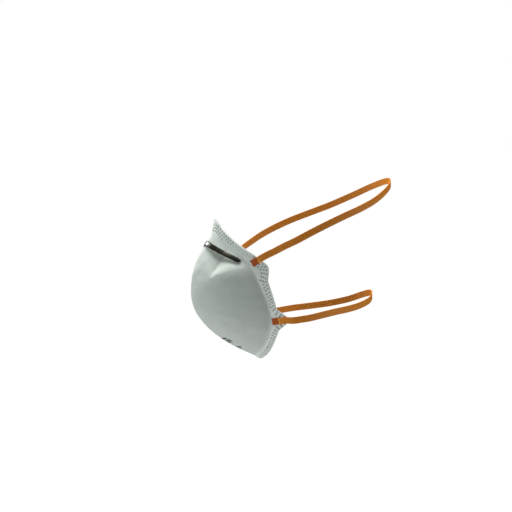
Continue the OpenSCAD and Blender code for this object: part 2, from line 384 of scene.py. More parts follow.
# The height of the ripple in millimetres, and the rows over which it starts and ends
RIPPLE = 0.10
RIPPLE_FROM = -0.1
RIPPLE_GROWS = 0.3
FRONT_CALM = 0.1
WAVES = [(0.9, 0.31, 0.17, 0.4), (0.7, -0.19, 0.37, 2.1), (0.5, 0.47, -0.29, 4.4),
    (0.4, 0.13, 0.61, 1.2)]


def ripple(p):
    """The slight unevenness of a pressed web, the same for every layer."""
    return RIPPLE * sum(a * np.sin(p[..., 0] * u + p[..., 2] * v + c) for a, u, v, c in WAVES)


def wall(s, r, depth, crease_room=0.0):
    """A point of the moulded wall, at a depth inwards from the outside of the cover."""
    p = form(s, r)
    pushed = fold(p)
    in_crease = soft((fold_share(p)[0] - CREASE_FROM) / CREASE_GROWS) * soft(pushed / DEEP_FOLD)
    extra = crease_room * in_crease
    calm = soft((r - RIPPLE_FROM) / RIPPLE_GROWS) * soft((1 - r) / FRONT_CALM)
    away = outward(s, r)
    shifted = p + np.stack([0 * pushed, pushed + extra, 0 * pushed], -1)
    return shifted + away * ((ripple(p) * calm)[..., None] - depth * web_share(r))


# %% [markdown]
# ## From rings to a closed skin
# Every piece here is a stack of rings. Where two rings have the same number of points the
# skin is quads, and where one is finer the wider faces take several of its points, so the
# flange can be fine enough for its weld spots while the cup stays light.

# %% Skins from rings
def ring_faces(first, a, b):
    """Faces between a ring of a points at index first and the ring of b points after it."""
    near = [first + i for i in range(a)]
    far = [first + a + i for i in range(b)]
    if a == 1:
        return [[near[0], far[i], far[(i + 1) % b]] for i in range(b)]
    if b == 1:
        return [[near[(i + 1) % a], near[i], far[0]] for i in range(a)]
    if a >= b:
        k = a // b
        return [
            [near[(i * k + j) % a] for j in range(k, -1, -1)] + [far[i], far[(i + 1) % b]]
            for i in range(b)
        ]
    k = b // a
    return [
        [near[(i + 1) % a], near[i]] + [far[(i * k + j) % b] for j in range(k + 1)]
        for i in range(a)
    ]


def skin(name, rings, flat_rings=None, vectors=None, material=None):
    """A closed mesh object through rings of points in millimetres, with a UV map and attributes."""
    points = np.vstack(rings)
    faces = []
    first = 0
    for a, b in zip(rings[:-1], rings[1:]):
        faces += ring_faces(first, len(a), len(b))
        first += len(a)
    if len(rings[0]) > 1:
        faces.append(list(range(len(rings[0]))))
        faces.append(list(range(first + len(rings[-1]) - 1, first - 1, -1)))
    mesh = bpy.data.meshes.new(name)
    mesh.from_pydata((points * MM).tolist(), [], faces)
    mesh.update()
    if flat_rings is not None:
        flat = np.vstack(flat_rings)
        corner = np.zeros(len(mesh.loops), int)
        mesh.loops.foreach_get("vertex_index", corner)
        layer = mesh.uv_layers.new(name="flat")
        layer.data.foreach_set("uv", flat[corner].astype(np.float32).ravel())
    for key, rows in (vectors or {}).items():
        values = np.vstack(rows) if rows[0].ndim == 2 else np.concatenate(rows)
        kind = "FLOAT_VECTOR" if values.ndim == 2 else "FLOAT"
        attribute = mesh.attributes.new(key, kind, "POINT")
        field = "vector" if values.ndim == 2 else "value"
        attribute.data.foreach_set(field, values.astype(np.float32).ravel())
    shell = bmesh.new()
    shell.from_mesh(mesh)
    if shell.calc_volume(signed=True) < 0:
        bmesh.ops.reverse_faces(shell, faces=shell.faces)
        shell.to_mesh(mesh)
    shell.free()
    mesh.polygons.foreach_set("use_smooth", [True] * len(mesh.polygons))
    if material:
        mesh.materials.append(material)
    piece = bpy.data.objects.new(name, mesh)
    bpy.context.collection.objects.link(piece)
    return piece


def tell(piece):
    """Prints a piece's size, as a check on each step."""
    co = np.zeros(len(piece.data.vertices) * 3)
    piece.data.vertices.foreach_get("co", co)
    span = np.ptp(co.reshape(-1, 3), axis=0) / MM
    triangles = sum(len(p.vertices) - 2 for p in piece.data.polygons)
    print(f"{piece.name}: {triangles} triangles, {span.round(1)} mm")


# %% [markdown]
# ## Finishes
# Each finish is procedural and reads the piece's own flat map, measured in millimetres, or
# its Object coordinates, so its grain has the real size. Spunbonded web is a felt of endless
# fibres, held by a grid of tiny pressed bond points, and it is cloudy where fibres bunch. Its
# flange is painted whiter and its cup greyer, as painted light and painted shade for how the
# light falls on them. It is grey and smooth in a weld spot, where it has melted, and its dark
# grey there is partly painted shade in the pit. The meshes carry those two zones as
# attributes, "flange" and "fused", because a rule in space could not follow the flange's edge
# so closely.

# %% Shared parts of the finishes
def begin(name, roughness, metallic=0.0):
    """A new material, its tree and its shader."""
    made = bpy.data.materials.new(name)
    made.use_nodes = True
    shader = made.node_tree.nodes["Principled BSDF"]
    shader.inputs["Roughness"].default_value = roughness
    shader.inputs["Metallic"].default_value = metallic
    return made, made.node_tree, shader


def flat_map(tree, turn=0.0, stretch=(1, 1, 1)):
    """The piece's flat map in millimetres, turned and stretched."""
    source = add_node(tree, "ShaderNodeUVMap", {"uv_map": "flat"})
    turned = add_node(tree, "ShaderNodeMapping", Vector=source.outputs[0])
    turned.inputs["Rotation"].default_value = (0, 0, math.radians(turn))
    turned.inputs["Scale"].default_value = stretch
    return turned.outputs[0]


def flat_parts(tree):
    """The flat map's two directions."""
    parts = add_node(tree, "ShaderNodeSeparateXYZ", Vector=flat_map(tree))
    return parts.outputs["X"], parts.outputs["Y"]


def flat_noise(tree, scale, detail, turn=0.0, stretch=(1, 1, 1), **more):
    """Noise over the flat map, from 0 to 1."""
    place = flat_map(tree, turn, stretch)
    noise = add_node(
        tree, "ShaderNodeTexNoise", {"noise_dimensions": "2D"}, Vector=place, Scale=scale,
        Detail=detail, **more,
    )
    return noise.outputs["Fac"]


def in_space(tree):
    """The piece's place in space, in metres."""
    return add_node(tree, "ShaderNodeTexCoord").outputs["Object"]


def carried(tree, name):
    """An attribute that the mesh carries."""
    return add_node(tree, "ShaderNodeAttribute", {"attribute_name": name}).outputs["Fac"]


def mix_colours(tree, factor, a, b):
    """Colour a where factor is 0 and b where it is 1."""
    node = tree.nodes.new("ShaderNodeMix")
    node.data_type = "RGBA"
    for socket, value in ((node.inputs[0], factor), (node.inputs[6], a), (node.inputs[7], b)):
        if isinstance(value, bpy.types.NodeSocket):
            tree.links.new(value, socket)
        else:
            socket.default_value = value
    return node.outputs[2]


def ranged(tree, value, low, high, to_low=0.0, to_high=1.0):
    """A value's soft step between two limits."""
    node = add_node(tree, "ShaderNodeMapRange", {"interpolation_type": "SMOOTHSTEP"})
    limits = {"From Min": low, "From Max": high, "To Min": to_low, "To Max": to_high}
    for key, number in limits.items():
        node.inputs[key].default_value = number
    tree.links.new(value, node.inputs["Value"])
    return node.outputs[0]


def fibres(tree, angles, length_scale, width_scale):
    """Streaks of fibres that run in several directions, from 0 to 1."""
    total = None
    for turn in angles:
        stretch = (length_scale, width_scale, 1)
        value = flat_noise(tree, 1.0, 2.0, turn, stretch, Distortion=0.6)
        total = value if total is None else arithmetic(tree, "ADD", total, value)
    return arithmetic(tree, "DIVIDE", total, len(angles))


def raise_surface(tree, shader, height, distance, strength=1.0):
    """A bump of a real height in millimetres."""
    bump = add_node(
        tree, "ShaderNodeBump", Strength=strength, Distance=distance * MM, Height=height
    )
    tree.links.new(bump.outputs[0], shader.inputs["Normal"])


# %% Spunbonded web
WEB_ROUGH = 0.82
FUSED_ROUGH = 0.45
FIBRE_TURNS = (8, 52, 97, 141)
BOND_PITCH = 1.7
# a weld spot's colour: grey melted web, made darker as painted shade in the pit
FUSED_GREY_AND_PIT_SHADE = (0.24, 0.26, 0.25, 1)
INK = (0.012, 0.014, 0.014, 1)
PRINT_FADE = 0.1


def bar(tree, across, down, centre, size):
    """1 inside a plain printed bar of the flat map, and 0 outside it."""
    inside = []
    for place, middle, length in zip((across, down), centre, size):
        off = arithmetic(tree, "ABSOLUTE", arithmetic(tree, "SUBTRACT", place, middle))
        inside.append(ranged(tree, off, length / 2 - PRINT_FADE, length / 2, 1.0, 0.0))
    return arithmetic(tree, "MULTIPLY", *inside)


def web_finish(name, light, dark, flat, bars=()):
    """White web: cloudy and fibrous, painted whiter in the flange as painted light, with printed
    bars where given.
    """
    made, tree, shader = begin(name, WEB_ROUGH)
    shader.inputs["Sheen Weight"].default_value = 0.05
    shader.inputs["Sheen Roughness"].default_value = 0.5
    shader.inputs["Specular IOR Level"].default_value = 0.3
    cloud = flat_noise(tree, 0.11, 3.0, Roughness=0.5)
    strands = fibres(tree, FIBRE_TURNS, 0.35, 4.2)
    bonds = add_node(
        tree, "ShaderNodeTexVoronoi", {"voronoi_dimensions": "2D"},
        Vector=flat_map(tree, 45, (1, 0.82, 1)), Scale=1 / BOND_PITCH, Randomness=0.06,
    )
    pressed = ranged(tree, bonds.outputs["Distance"], 0.17, 0.27, 1.0, 0.0)
    shade = arithmetic(
        tree, "ADD", ranged(tree, cloud, 0.25, 0.75, 0.32, 0.68),
        arithmetic(tree, "MULTIPLY", strands, 0.8),
    )
    shade = arithmetic(tree, "SUBTRACT", shade, arithmetic(tree, "MULTIPLY", pressed, 0.35))
    colour = mix_colours(tree, arithmetic(tree, "MULTIPLY", shade, 0.62, clamp=True), dark, light)
    # painted light: the flange is painted whiter than the cup, for the light that falls on it
    flange_painted_light = arithmetic(tree, "MULTIPLY", carried(tree, "flange"), 0.85)
    colour = mix_colours(tree, flange_painted_light, colour, flat)
    # weld spots: grey where the web has melted, and darker, as painted shade in the pit
    fused = carried(tree, "fused")
    colour = mix_colours(tree, arithmetic(tree, "MULTIPLY", fused, 0.8), colour, FUSED_GREY_AND_PIT_SHADE)
    rough = ranged(tree, fused, 0.0, 1.0, WEB_ROUGH, FUSED_ROUGH)
    tree.links.new(rough, shader.inputs["Roughness"])
    if bars:
        across, down = flat_parts(tree)
        printed = None
        for centre, size in bars:
            one = bar(tree, across, down, centre, size)
            printed = one if printed is None else arithmetic(tree, "MAXIMUM", printed, one)
        wear_and_highlight = ranged(tree, strands, 0.36, 0.46, 0.85, 1.0)
        colour = mix_colours(tree, arithmetic(tree, "MULTIPLY", printed, wear_and_highlight), colour, INK)
    tree.links.new(colour, shader.inputs["Base Color"])
    height = arithmetic(tree, "SUBTRACT", strands, arithmetic(tree, "MULTIPLY", pressed, 0.7))
    raise_surface(tree, shader, height, 0.16, 0.7)
    return made


# %% Where the printed bars lie on the cup
UPPER_PRINT_ROW = 0.345
LOWER_PRINT_ROW = 0.2


def meridian(s, rows):
    """How far each row lies from the front of the cup, along the wall."""
    line = form(np.full(len(rows), s), np.array(rows))
    steps = np.linalg.norm(np.diff(line, axis=0), axis=1)
    return np.concatenate([[0], np.cumsum(steps)])


def print_place(r):
    """How far below the front of the cup a row over the chin lies, on the flat map."""
    return -meridian(1.0, np.linspace(1, r, 60))[-1]


UPPER_PRINT = print_place(UPPER_PRINT_ROW)
LOWER_PRINT = print_place(LOWER_PRINT_ROW)
UPPER_LINE = 3.6
PRINTED = [((-10, UPPER_PRINT + UPPER_LINE), (11, 2.4)),
    ((5, UPPER_PRINT + UPPER_LINE), (14, 2.4)),
    ((-7, UPPER_PRINT), (17, 2.6)), ((10, UPPER_PRINT), (11, 2.6)),
    ((-11, UPPER_PRINT - UPPER_LINE), (6, 2.4)), ((4, UPPER_PRINT - UPPER_LINE), (19, 2.4)),
    ((-8.5, LOWER_PRINT + 1.5), (13, 1.9)), ((8.5, LOWER_PRINT + 1.5), (12, 1.9)),
    ((1.5, LOWER_PRINT - 1.7), (18, 1.9))]
# painted shade and light: the cover's cup colours are painted grey for its shaded side, and its
# flange colour is painted whiter
cover_web = web_finish(
    "cover_web", light=(0.685, 0.72, 0.695, 1), dark=(0.565, 0.595, 0.575, 1),
    flat=(0.93, 0.95, 0.935, 1), bars=PRINTED,
)
lining_web = web_finish(
    "lining_web", light=(0.80, 0.81, 0.80, 1), dark=(0.70, 0.71, 0.70, 1),
    flat=(0.86, 0.87, 0.86, 1),
)
print("print lies", round(-UPPER_PRINT, 1), "and", round(-LOWER_PRINT, 1), "mm from the front")


# %% Felt and meltblown web, for the layers between cover and lining
def felt_finish(name, light, dark, scale):
    """A matted web with no bond points."""
    made, tree, shader = begin(name, 0.95)
    mat = add_node(
        tree, "ShaderNodeTexNoise", Vector=in_space(tree), Scale=scale, Detail=6.0,
        Roughness=0.7, Distortion=1.2,
    )
    colour = mix_colours(tree, ranged(tree, mat.outputs["Fac"], 0.3, 0.7), dark, light)
    tree.links.new(colour, shader.inputs["Base Color"])
    raise_surface(tree, shader, mat.outputs["Fac"], 0.2)
    return made


FELT_SCALE = 900
MELTBLOWN_SCALE = 2200
felt_shell = felt_finish(
    "felt_shell", (0.86, 0.86, 0.84, 1), (0.74, 0.74, 0.71, 1), FELT_SCALE
)
filter_web = felt_finish(
    "filter_web", (0.9, 0.91, 0.9, 1), (0.84, 0.85, 0.84, 1), MELTBLOWN_SCALE
)
for made, scale in ((felt_shell, FELT_SCALE), (filter_web, MELTBLOWN_SCALE)):
    print(made.name, "has a grain of", round(1 / scale / MM, 1), "mm")


# %% [markdown]
# ## The webs
# The cover and the lining show, so they get a fine flange. The filter and the felt shell lie
# between them, so theirs are lighter and pressed thinner in the flange, where the real ones
# are fused, and they never show through a weld spot. Every web is one closed skin: out along
# its outer side, round the cut edge and back along its inner side.

# %% Rows and columns of a web
COLUMNS = 400
FLANGE_COLUMNS = 800
# The depth that welds press towards, as a share of the stack, and how the cut edge rounds
NEUTRAL = 0.6
EDGE_ROUND = 0.9
EDGE_SQUEEZE = 0.8
# Rows where the flange zone starts and is full, and where the cup's rows and hidden webs end
FLANGE_FROM = 0.06
FLANGE_GROWS = 0.1
CUP_FROM = 0.05
HIDDEN_EDGE = -0.96
HIDDEN_SQUEEZE = 0.6
CORE_SQUEEZE = 0.65


def even_rows(count):
    """Rows of the cup, evenly apart along the wall, from the cup's edge to near its front."""
    fine = np.linspace(0, 1, 400)
    lengths = np.mean([meridian(s, fine) for s in (0.0, 0.3, 0.6, 1.0)], axis=0)
    return np.interp(np.linspace(0, lengths[-1], count + 1)[:-1], lengths, fine)


def side_rings(depth, cup_rows, flange_rows, columns, flange_columns, squeeze, room):
    """Rings of one side of a web, front to edge, with their flat map, press and flange zone."""
    rings = [wall(np.zeros(1), np.full(1, 0.9999), depth)]
    flats = [np.zeros((1, 2))]
    presses = [np.zeros((1, 3))]
    flanges = [np.zeros(1)]
    plan = [(r, columns) for r in cup_rows[::-1]] + [(r, flange_columns) for r in flange_rows]
    fine = np.linspace(1, -1, 240)
    stations = np.linspace(-1, 1, 81)
    table = np.array([meridian(s, fine) for s in stations])
    for r, count in plan:
        s = -1 + 2 * np.arange(count) / count
        rows = np.full(count, float(r))
        away = outward(s, rows)
        share = web_share(rows)
        press = -away * (NEUTRAL * WALL_T - depth) * share
        width = np.linalg.norm(form(s, -1.0) - form(s, 0.0), axis=-1)
        from_edge = (1 + rows) * width
        active = soft((FLANGE_FROM - rows) / FLANGE_GROWS)[:, None]
        rounded = EDGE_SQUEEZE * (1 - soft(from_edge / EDGE_ROUND))[:, None]
        fixed = np.maximum(squeeze * active, rounded)
        rings.append(wall(s, rows, depth, room) + press * fixed)
        presses.append(press * active * (1 - fixed) * MM)
        flanges.append(active[:, 0])
        reach = [np.interp(-r, -fine, row) for row in table]
        length = np.interp(s, stations, reach)
        flats.append(np.stack([length * np.sin(math.pi * s), length * np.cos(math.pi * s)], -1))
    return rings, flats, presses, flanges


def make_web(name, outer, inner, material, fine_side=None, rows=62, columns=COLUMNS):
    """A closed web between two depths. fine_side, outer or inner, gets the fine flange."""
    room = 0.0 if name == "cover" else CREASE_ROOM
    cup = even_rows(rows)
    cup = cup[cup > CUP_FROM]
    coarse = np.linspace(0.0, -1.0 if fine_side else HIDDEN_EDGE, 9)
    fine = np.linspace(0.03, -1.0, 27)
    halves = []
    for side, depth in (("outer", outer), ("inner", inner)):
        if side == fine_side:
            halves.append(side_rings(depth, cup, fine, columns, FLANGE_COLUMNS, 0.0, room))
        else:
            squeeze = HIDDEN_SQUEEZE if fine_side else CORE_SQUEEZE
            halves.append(side_rings(depth, cup, coarse, columns, columns, squeeze, room))
    there, back = halves
    joined = [a + b[::-1] for a, b in zip(there, back)]
    return skin(name, joined[0], joined[1], {"press": joined[2], "flange": joined[3]}, material)


cover = make_web("cover", 0, COVER_T, cover_web, "outer")
lining = make_web("lining", LINING_AT, WALL_T, lining_web, "inner")
core = dict(rows=32, columns=200)
filter_layer = make_web("filter", FILTER_AT, FILTER_AT + FILTER_T, filter_web, **core)
shell = make_web("felt", SHELL_AT, SHELL_AT + SHELL_T, felt_shell, **core)
for web in (cover, lining, filter_layer, shell):
    tell(web)

# %% [markdown]
# ## Weld spots
# An ultrasonic wheel welds the webs together in rows of small spots all round the flange,
# and in short bars across it beside the nose. Each spot is a real pit, and the web swells a
# little between the spots. The spots repeat along a path, so Geometry Nodes press them: the
# tree measures how far each point of the web is from the nearest weld line and moves it
# towards the middle of the stack by that rule. It also marks the point as fused, and the
# web's finish reads that mark and paints it grey, darker as painted shade in the pit. The
# shallow bars are fused less than the spots.

# %% The tree that presses welds into a web
def press_tree():
    """Geometry Nodes: press a skin along its press attribute near the lines of another mesh."""
    tree = bpy.data.node_groups.new("weld_press", "GeometryNodeTree")
    sides = tree.interface
    sides.new_socket("Geometry", in_out="INPUT", socket_type="NodeSocketGeometry")
    wanted = [("Weld lines", "NodeSocketObject"), ("Spot radius", "NodeSocketFloat"),
        ("Spot slope", "NodeSocketFloat"), ("Squeeze", "NodeSocketFloat"),
        ("Swell", "NodeSocketFloat"), ("Swell reach", "NodeSocketFloat"),
        ("Mark", "NodeSocketFloat"), ("Finish", "NodeSocketMaterial")]
    for name, kind in wanted:
        sides.new_socket(name, in_out="INPUT", socket_type=kind)
    sides.new_socket("Geometry", in_out="OUTPUT", socket_type="NodeSocketGeometry")
    given = tree.nodes.new("NodeGroupInput").outputs
    lines = add_node(tree, "GeometryNodeObjectInfo", Object=given["Weld lines"])
    near = add_node(tree, "GeometryNodeProximity", {"target_element": "EDGES"})
    tree.links.new(lines.outputs["Geometry"], near.inputs[0])
    foot = arithmetic(tree, "ADD", given["Spot radius"], given["Spot slope"])
    smooth = {"interpolation_type": "SMOOTHSTEP"}
    pit = add_node(
        tree, "ShaderNodeMapRange", smooth, Value=near.outputs["Distance"],
        From_Min=given["Spot radius"], From_Max=foot, To_Min=given["Squeeze"], To_Max=0.0,
    )
    swell = add_node(
        tree, "ShaderNodeMapRange", smooth, Value=near.outputs["Distance"],
        From_Min=given["Spot radius"], From_Max=given["Swell reach"], To_Min=0.0,
        To_Max=arithmetic(tree, "MULTIPLY", given["Swell"], -1.0),
    )
    amount = arithmetic(tree, "ADD", pit.outputs[0], swell.outputs[0])
    press = add_node(
        tree, "GeometryNodeInputNamedAttribute", {"data_type": "FLOAT_VECTOR"}, Name="press"
    )
    shift = add_node(tree, "ShaderNodeVectorMath", {"operation": "SCALE"}, Scale=amount)
    tree.links.new(press.outputs["Attribute"], shift.inputs[0])
    fused = add_node(
        tree, "ShaderNodeMapRange", smooth, Value=near.outputs["Distance"],
        From_Min=given["Spot radius"], From_Max=foot, To_Min=given["Mark"], To_Max=0.0,
    )
    before = add_node(
        tree, "GeometryNodeInputNamedAttribute", {"data_type": "FLOAT"}, Name="fused"
    )
    either = arithmetic(tree, "MAXIMUM", fused.outputs[0], before.outputs["Attribute"])
    marked = add_node(
        tree, "GeometryNodeStoreNamedAttribute", {"data_type": "FLOAT", "domain": "POINT"},
        Geometry=given["Geometry"], Name="fused", Value=either,
    )
    moved = add_node(
        tree, "GeometryNodeSetPosition", Geometry=marked.outputs[0], Offset=shift.outputs[0]
    )
    whole = add_node(tree, "GeometryNodeRealizeInstances", Geometry=moved.outputs[0])
    faced = add_node(
        tree, "GeometryNodeSetMaterial", Geometry=whole.outputs[0], Material=given["Finish"]
    )
    result = tree.nodes.new("NodeGroupOutput")
    tree.links.new(faced.outputs[0], result.inputs[0])
    return tree


weld_press = press_tree()


def press_welds(piece, lines, **values):
    """Presses weld lines, given as pairs of points in millimetres, into a piece."""
    mesh = bpy.data.meshes.new("weld_lines")
    points = np.array(lines).reshape(-1, 3) * MM
    edges = [(2 * i, 2 * i + 1) for i in range(len(lines))]
    mesh.from_pydata(points.tolist(), edges, [])
    guide = bpy.data.objects.new("weld_lines", mesh)
    bpy.context.collection.objects.link(guide)
    values = {"Weld_lines": guide, "Finish": piece.data.materials[0], **values}
    modifier = piece.modifiers.new("weld_press", "NODES")
    modifier.node_group = weld_press
    for socket in weld_press.interface.items_tree:
        key = socket.name.replace(" ", "_")
        if socket.in_out == "INPUT" and key in values:
            modifier[socket.identifier] = values[key]
    ready = piece.evaluated_get(bpy.context.evaluated_depsgraph_get())
    pressed = bpy.data.meshes.new_from_object(ready)
    piece.modifiers.remove(modifier)
    piece.data = pressed
    bpy.data.objects.remove(guide)
    pressed.polygons.foreach_set("use_smooth", [True] * len(pressed.polygons))


# %% The pattern of welds round the flange
# Lengths in millimetres from the flange's edge; BARS_FROM, BARS_TO and NOSE_SPAN are stations
SPOT_PITCH = 3.55
ROW_APART = 2.9
FIRST_ROW = 2.5
SPOT_LONG = 0.7
BAR_PITCH = 3.1
BAR_LONG = 3.2
BARS_FROM = 0.145
BARS_TO = 0.275
NOSE_ROOM = 5.5
NOSE_SPAN = 0.06
CUP_ROOM = 1.6
THIRD_ROW_WIDTH = 11.2
WELD_LINE_ROW = -0.6


def flange_width(s):
    """The flange's width at a station, in millimetres."""
    return np.linalg.norm(form(s, -1.0) - form(s, 0.0), axis=-1)


def weld_lines(depth):
    """Pairs of points on one side of the stack: the spots as short lines, and the bars."""
    fine = np.linspace(-1, 1, 1200)
    middle = form(fine, WELD_LINE_ROW)
    run = np.concatenate([[0], np.cumsum(np.linalg.norm(np.diff(middle, axis=0), axis=1))])
    spots = []
    bars = []

    def line(s, start, end):
        """A short line across the flange, between two distances from its edge."""
        return wall(np.full(2, s), -1 + np.array([start, end]) / flange_width(s), depth)

    count = int(run[-1] / SPOT_PITCH)
    for i in range(count):
        for row in range(3):
            s = np.interp((i + 0.5 * (row % 2)) * run[-1] / count, run, fine)
            at = FIRST_ROW + row * ROW_APART + NOSE_ROOM * float(soft(1 - abs(s) / NOSE_SPAN))
            width = flange_width(s)
            wide_enough = width - at > CUP_ROOM if row < 2 else width > THIRD_ROW_WIDTH
            if wide_enough and not BARS_FROM < abs(s) < BARS_TO:
                spots.append(line(s, at - SPOT_LONG / 2, at + SPOT_LONG / 2))
    for side in (-1, 1):
        start, end = sorted(np.interp([side * BARS_FROM, side * BARS_TO], fine, run))
        for at in np.arange(start + 1, end, BAR_PITCH):
            bars.append(line(np.interp(at, run, fine), FIRST_ROW, FIRST_ROW + BAR_LONG))
    return spots, bars


deep = dict(Spot_radius=0.55 * MM, Spot_slope=0.35 * MM, Swell_reach=1.9 * MM, Squeeze=0.62,
    Swell=0.25, Mark=1.0)
shallow = dict(Spot_radius=0.4 * MM, Spot_slope=0.45 * MM, Swell_reach=1.5 * MM, Squeeze=0.4,
    Swell=0.18, Mark=0.4)
for web, depth in ((cover, 0.0), (lining, WALL_T)):
    spots, bars = weld_lines(depth)
    press_welds(web, spots, **deep)
    press_welds(web, bars, **shallow)
print("weld spots:", len(spots), "bars:", len(bars))

# %% The webs take their places
for web, node, name in (
    (cover, "outer_cover", "cover_web"),
    (filter_layer, "filter_layer", "filter_web"),
    (shell, "shaping_shell", "felt_shell"),
    (lining, "inner_lining", "lining_web"),
):
    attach(web, "mask")
    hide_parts(node)

# %% [markdown]
# ## Nose clip, foam and their glue
# Four strips follow the bridge of the nose. The clip is soft aluminium wire, rolled flat and
# lacquered dark; it is cut with round ends and bent by hand, so its edges are rolled and its
# face is slightly crowned. The foam is a plain soft strip inside. Each is a loft of rounded
# sections, because a bevelled box could not follow the bend so closely.

# %% Sizes of the strips over the nose
STATION_MM = 200
CLIP_W = 5.4
CLIP_T = 0.6
GLUE_T = 0.15
GLUE_ROOM = 0.14
CLIP_REACH = 0.25
FOAM_REACH = 0.21
FOAM_W = 6.5
FOAM_T = 3
CLIP_LIFT = GLUE_T + 2 * GLUE_ROOM
FOAM_DEPTH = WALL_T + GLUE_T + 4 * GLUE_ROOM
# The row over the nose, and how fast a strip falls towards the flange on both sides of it
CLIP_ROW, CLIP_FALL = 0.19, 1.85
FOAM_ROW, FOAM_FALL = 0.062, 0.45


def clip_row(s):
    """The row of the form that the clip follows."""
    return CLIP_ROW - CLIP_FALL * s * s


def foam_row(s):
    """The row of the form that the foam follows."""
    return FOAM_ROW - FOAM_FALL * s * s


print("clip:", round(2 * CLIP_REACH * STATION_MM), "mm of stations,", CLIP_W, "mm wide")


# %% A strip over the nose
ENDS_CLOSER = 0.35
THINNEST_END = 0.15


def rounded_section(half, thick, corner, crown, steps=5, across=9):
    """Points of a rounded flat section: across the width, and out from its lower face."""
    corner_w = min(corner, half)
    corner_t = min(corner, thick / 2)
    angles = np.linspace(0, math.pi / 2, steps)
    flat = np.linspace(-1, 1, across)[1:-1] * (half - corner_w)
    right = [(half - corner_w + corner_w * math.sin(a), thick - corner_t + corner_t * math.cos(a))
        for a in angles]
    top = [(x, thick + crown * (1 - (x / half) ** 2)) for x in flat]
    upper = np.array([(-x, y) for x, y in right[::-1]] + top + right)
    lower = upper[::-1] * [1, -1] + [0, thick]
    lower[:, 1] = np.clip(lower[:, 1], 0, thick / 2)
    return np.vstack([upper, lower])


def nose_strip(name, row, reach, half, low, thick, corner, crown, material, steps=150):
    """A strip with round ends along a row of the form, between two heights over it."""
    closer = np.sin(np.linspace(-math.pi / 2, math.pi / 2, steps)) * ENDS_CLOSER
    even = np.linspace(-1, 1, steps) * (1 - ENDS_CLOSER)
    stations = (closer + even) * (reach - 0.0001)
    rings = []
    flats = []
    for s in stations:
        from_end = (reach - abs(s)) * STATION_MM
        inset = max(0, half - from_end)
        wide = math.sqrt(max(half * half - inset * inset, 0.01))
        roll = max(0, corner - from_end)
        slim = thick - 2 * (corner - math.sqrt(max(corner**2 - roll**2, 0)))
        slim = max(slim, THINNEST_END * thick)
        at = form(s, row(s))
        out = outward(s, row(s))
        along = unit(form(s + STATION_STEP, row(s)) - form(s - STATION_STEP, row(s)))
        side = unit(np.cross(along, out))
        section = rounded_section(wide, slim, corner, crown * wide / half)
        lift = low + (thick - slim) / 2
        rings.append(at + section[:, :1] * side + (section[:, 1:] + lift) * out)
        flats.append(np.stack([np.full(len(section), s * STATION_MM), section[:, 0]], -1))
    return skin(name, rings, flats, None, material)


# %% [markdown]
# The clip's lacquer is thin and glossy over brushed metal, thinner along the middle. Its
# colour is nearly black along the borders, a painted reflection of the dark room in the rolled
# edges, and darker towards the ends. Over the bridge it is painted as bright bare metal, a
# painted highlight where the small lamp's reflection falls. All of it follows the strip's flat
# map, so these marks bend with the clip. The foam is open: pores of different sizes, painted
# darker inside as painted shade. Hot melt is a clouded resin.

# %% Lacquered metal
# Millimetres in from the sides to the painted dark borders, in from the ends to their darkening,
# and out from the middle of the bridge to the edge of the painted highlight
BORDER_FROM = 1.3
BORDER_FULL = 0.8
END_FROM = 16
END_FULL = 12
END_DARK = 0.75
BRIDGE_HIGHLIGHT_FULL = 6
BRIDGE_HIGHLIGHT_TO = 13
BRIDGE_HIGHLIGHT_ROUGH = 0.12


def lacquer_finish():
    """Dark satin lacquer over rolled aluminium, with painted dark borders and a painted highlight
    over the bridge.
    """
    made, tree, shader = begin("clip_metal", 0.2, 0.85)
    shader.inputs["Coat Weight"].default_value = 0.5
    shader.inputs["Coat Roughness"].default_value = 0.12
    smudge = flat_noise(tree, 0.5, 3.0)
    grain = ranged(tree, flat_noise(tree, 1.0, 4.0, 0, (0.12, 7, 1)), 0.35, 0.65)
    colour = mix_colours(tree, grain, (0.085, 0.076, 0.048, 1), (0.13, 0.117, 0.078, 1))
    from_bridge, from_middle = (arithmetic(tree, "ABSOLUTE", part) for part in flat_parts(tree))
    half = CLIP_W / 2
    # painted reflection: the strip's borders are painted nearly black, for the dark room reflected
    # in its rolled edges
    side = ranged(tree, from_middle, half - BORDER_FROM, half - BORDER_FULL)
    tip = CLIP_REACH * STATION_MM
    end = ranged(tree, from_bridge, tip - END_FROM, tip - END_FULL, 0.0, END_DARK)
    # darker towards the ends, and nearly black at the borders as the painted reflection
    dark = arithmetic(tree, "MAXIMUM", side, end)
    colour = mix_colours(tree, dark, colour, (0.010, 0.010, 0.010, 1))
    # painted highlight: over the bridge the colour is bright bare metal, where the clip lamp's
    # reflection falls
    bridge_highlight = ranged(tree, from_bridge, BRIDGE_HIGHLIGHT_FULL, BRIDGE_HIGHLIGHT_TO, 1.0, 0.0)
    wear_and_highlight = arithmetic(tree, "MULTIPLY", bridge_highlight, arithmetic(tree, "SUBTRACT", 1.0, side))
    colour = mix_colours(tree, wear_and_highlight, colour, (0.85, 0.86, 0.84, 1))
    tree.links.new(colour, shader.inputs["Base Color"])
    rough = arithmetic(
        tree, "ADD", ranged(tree, smudge, 0.35, 0.7, 0.16, 0.26),
        arithmetic(tree, "MULTIPLY", wear_and_highlight, BRIDGE_HIGHLIGHT_ROUGH),
    )
    tree.links.new(rough, shader.inputs["Roughness"])
    raise_surface(tree, shader, grain, 0.0015)
    return made


# %% Foam and hot melt
PORE_SCALE = 1500.0
LARGE_PORE_SCALE = 520.0


